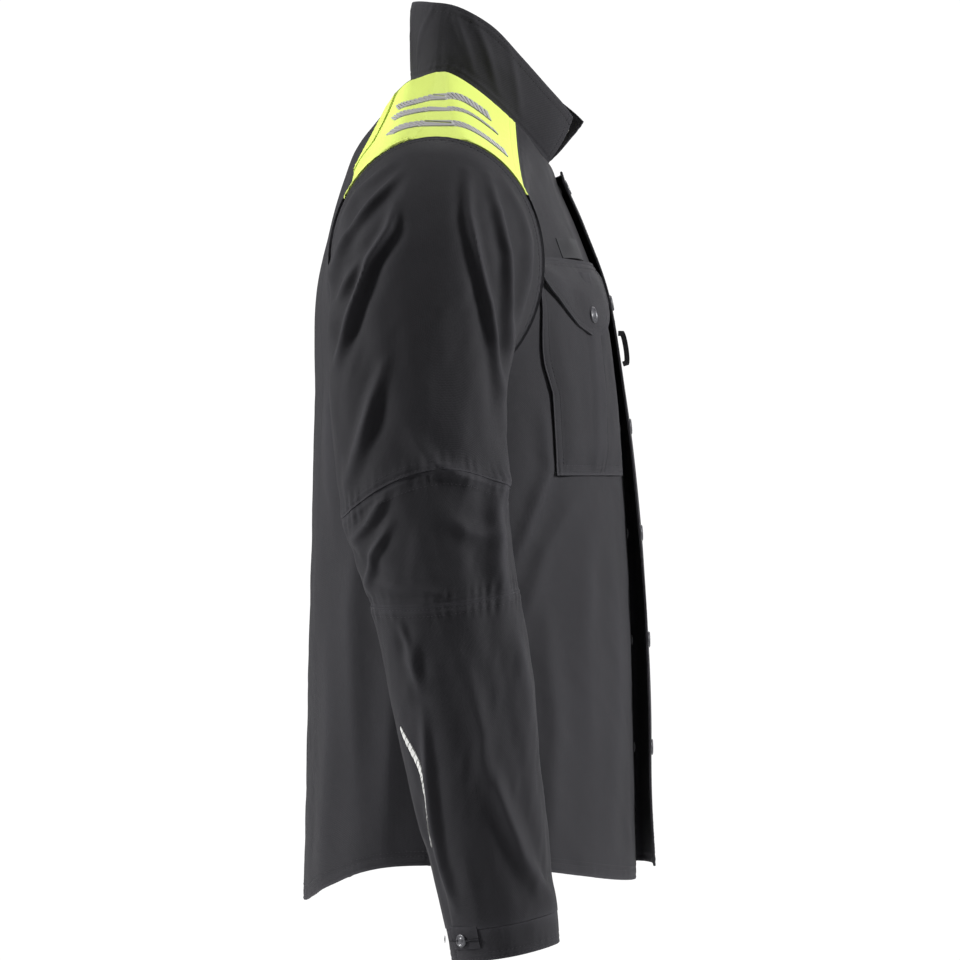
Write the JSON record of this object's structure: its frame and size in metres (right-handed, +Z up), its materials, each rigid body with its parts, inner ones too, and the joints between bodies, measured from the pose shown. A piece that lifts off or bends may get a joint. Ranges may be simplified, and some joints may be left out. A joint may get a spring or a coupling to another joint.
{
  "type": "turnout coat",
  "caption": "Lightweight firefighter's work jacket with a stand collar, a bright shoulder yoke, patch pockets, a storm flap over a zip, and shaped sleeves.",
  "frame": {"origin": "the hanger loop at the inside back neck, on the neck seam", "axes": "+Z up along the back, the front closure faces -Y, +X to the wearer's left"},
  "size_m": [0.722, 0.319, 0.843],
  "materials": {
    "black_cloth": "matte twill",
    "lining_cloth": "matte twill",
    "yellow_cloth": "matte high-visibility",
    "reflective_film": "retroreflective film",
    "webbing": "woven tape",
    "zip_metal": "oxidised",
    "snap_metal": "black satin"
  },
  "bodies": {
    "torso": {"back_panel": "black_cloth", "front_panel_right": "black_cloth", "front_panel_left": "black_cloth", "shoulder_yoke": "yellow_cloth", "yoke_stripes_right": "reflective_film", "yoke_stripes_left": "reflective_film", "collar_outer": "black_cloth", "collar_lining": "lining_cloth", "hanger_loop": "webbing", "front_facing_right": "lining_cloth", "front_facing_left": "lining_cloth", "pocket_body_right": "black_cloth", "pocket_body_left": "black_cloth", "pocket_studs": "snap_metal", "pen_loop_right": "black_cloth", "pen_loop_left": "black_cloth", "zip_tape_right": "webbing", "zip_tape_left": "webbing", "zip_teeth_right": "zip_metal", "zip_teeth_left": "zip_metal", "zip_top_stops": "zip_metal", "zip_box": "zip_metal", "storm_flap_top": "black_cloth", "storm_snaps_top": "snap_metal", "placket_studs": "snap_metal", "front_loop": "webbing"},
    "sleeve_upper_right": {"sleeve_upper_right": "black_cloth", "elbow_panel_right": "black_cloth"},
    "sleeve_lower_right": {"sleeve_lower_right": "black_cloth", "sleeve_piping_right": "reflective_film", "cuff_band_right": "black_cloth", "cuff_studs_right": "snap_metal"},
    "cuff_tab_right": {"cuff_tab_right": "black_cloth", "cuff_snaps_right": "snap_metal"},
    "pocket_flap_right": {"pocket_flap_right": "black_cloth", "pocket_snap_right": "snap_metal"},
    "sleeve_upper_left": {"sleeve_upper_left": "black_cloth", "elbow_panel_left": "black_cloth"},
    "sleeve_lower_left": {"sleeve_lower_left": "black_cloth", "sleeve_piping_left": "reflective_film", "cuff_band_left": "black_cloth", "cuff_studs_left": "snap_metal"},
    "cuff_tab_left": {"cuff_tab_left": "black_cloth", "cuff_snaps_left": "snap_metal"},
    "pocket_flap_left": {"pocket_flap_left": "black_cloth", "pocket_snap_left": "snap_metal"},
    "storm_flap": {"storm_flap": "black_cloth", "storm_snaps": "snap_metal"},
    "zip_slider": {"zip_slider": "zip_metal"},
    "zip_pull": {"zip_pull": "zip_metal"}
  },
  "joints": [
    {"name": "shoulder_swing_right", "type": "hinge", "parent": "torso", "child": "sleeve_upper_right", "pos_m": [-0.2815, -0.022, -0.178], "axis": [-1, 0, 0], "range_deg": [-20, 50]},
    {"name": "elbow_bend_right", "type": "hinge", "parent": "sleeve_upper_right", "child": "sleeve_lower_right", "pos_m": [-0.3, -0.03, -0.417], "axis": [-1, 0, 0], "range_deg": [0, 60], "deforming": ["elbow_panel_right"]},
    {"name": "cuff_tab_open_right", "type": "hinge", "parent": "sleeve_lower_right", "child": "cuff_tab_right", "pos_m": [-0.3579, -0.0585, -0.751], "axis": [0.0252, 0.1836, 0.9827], "range_deg": [0, 90]},
    {"name": "pocket_flap_lift_right", "type": "hinge", "parent": "torso", "child": "pocket_flap_right", "pos_m": [-0.1266, -0.1389, -0.1704], "axis": [-0.9451, 0.3269, -0.003], "range_deg": [0, 110]},
    {"name": "shoulder_swing_left", "type": "hinge", "parent": "torso", "child": "sleeve_upper_left", "pos_m": [0.2815, -0.022, -0.178], "axis": [-1, 0, 0], "range_deg": [-20, 50]},
    {"name": "elbow_bend_left", "type": "hinge", "parent": "sleeve_upper_left", "child": "sleeve_lower_left", "pos_m": [0.3, -0.03, -0.417], "axis": [-1, 0, 0], "range_deg": [0, 60], "deforming": ["elbow_panel_left"]},
    {"name": "cuff_tab_open_left", "type": "hinge", "parent": "sleeve_lower_left", "child": "cuff_tab_left", "pos_m": [0.3579, -0.0585, -0.751], "axis": [0.0252, -0.1836, -0.9827], "range_deg": [0, 90]},
    {"name": "pocket_flap_lift_left", "type": "hinge", "parent": "torso", "child": "pocket_flap_left", "pos_m": [0.1266, -0.1389, -0.1704], "axis": [-0.9451, -0.3269, 0.003], "range_deg": [0, 110]},
    {"name": "storm_flap_open", "type": "hinge", "parent": "torso", "child": "storm_flap", "pos_m": [0.0285, -0.1995, -0.507], "axis": [0, 0.0403, 0.9992], "range_deg": [0, 120]},
    {"name": "zip_run", "type": "slide", "parent": "torso", "child": "zip_slider", "axis": [0, -0.0425, -0.9991], "range_m": [0, 0.38]},
    {"name": "zip_pull_swing", "type": "hinge", "parent": "zip_slider", "child": "zip_pull", "pos_m": [0, -0.184, -0.301], "axis": [-1, 0, 0], "range_deg": [0, 18]}
  ]
}
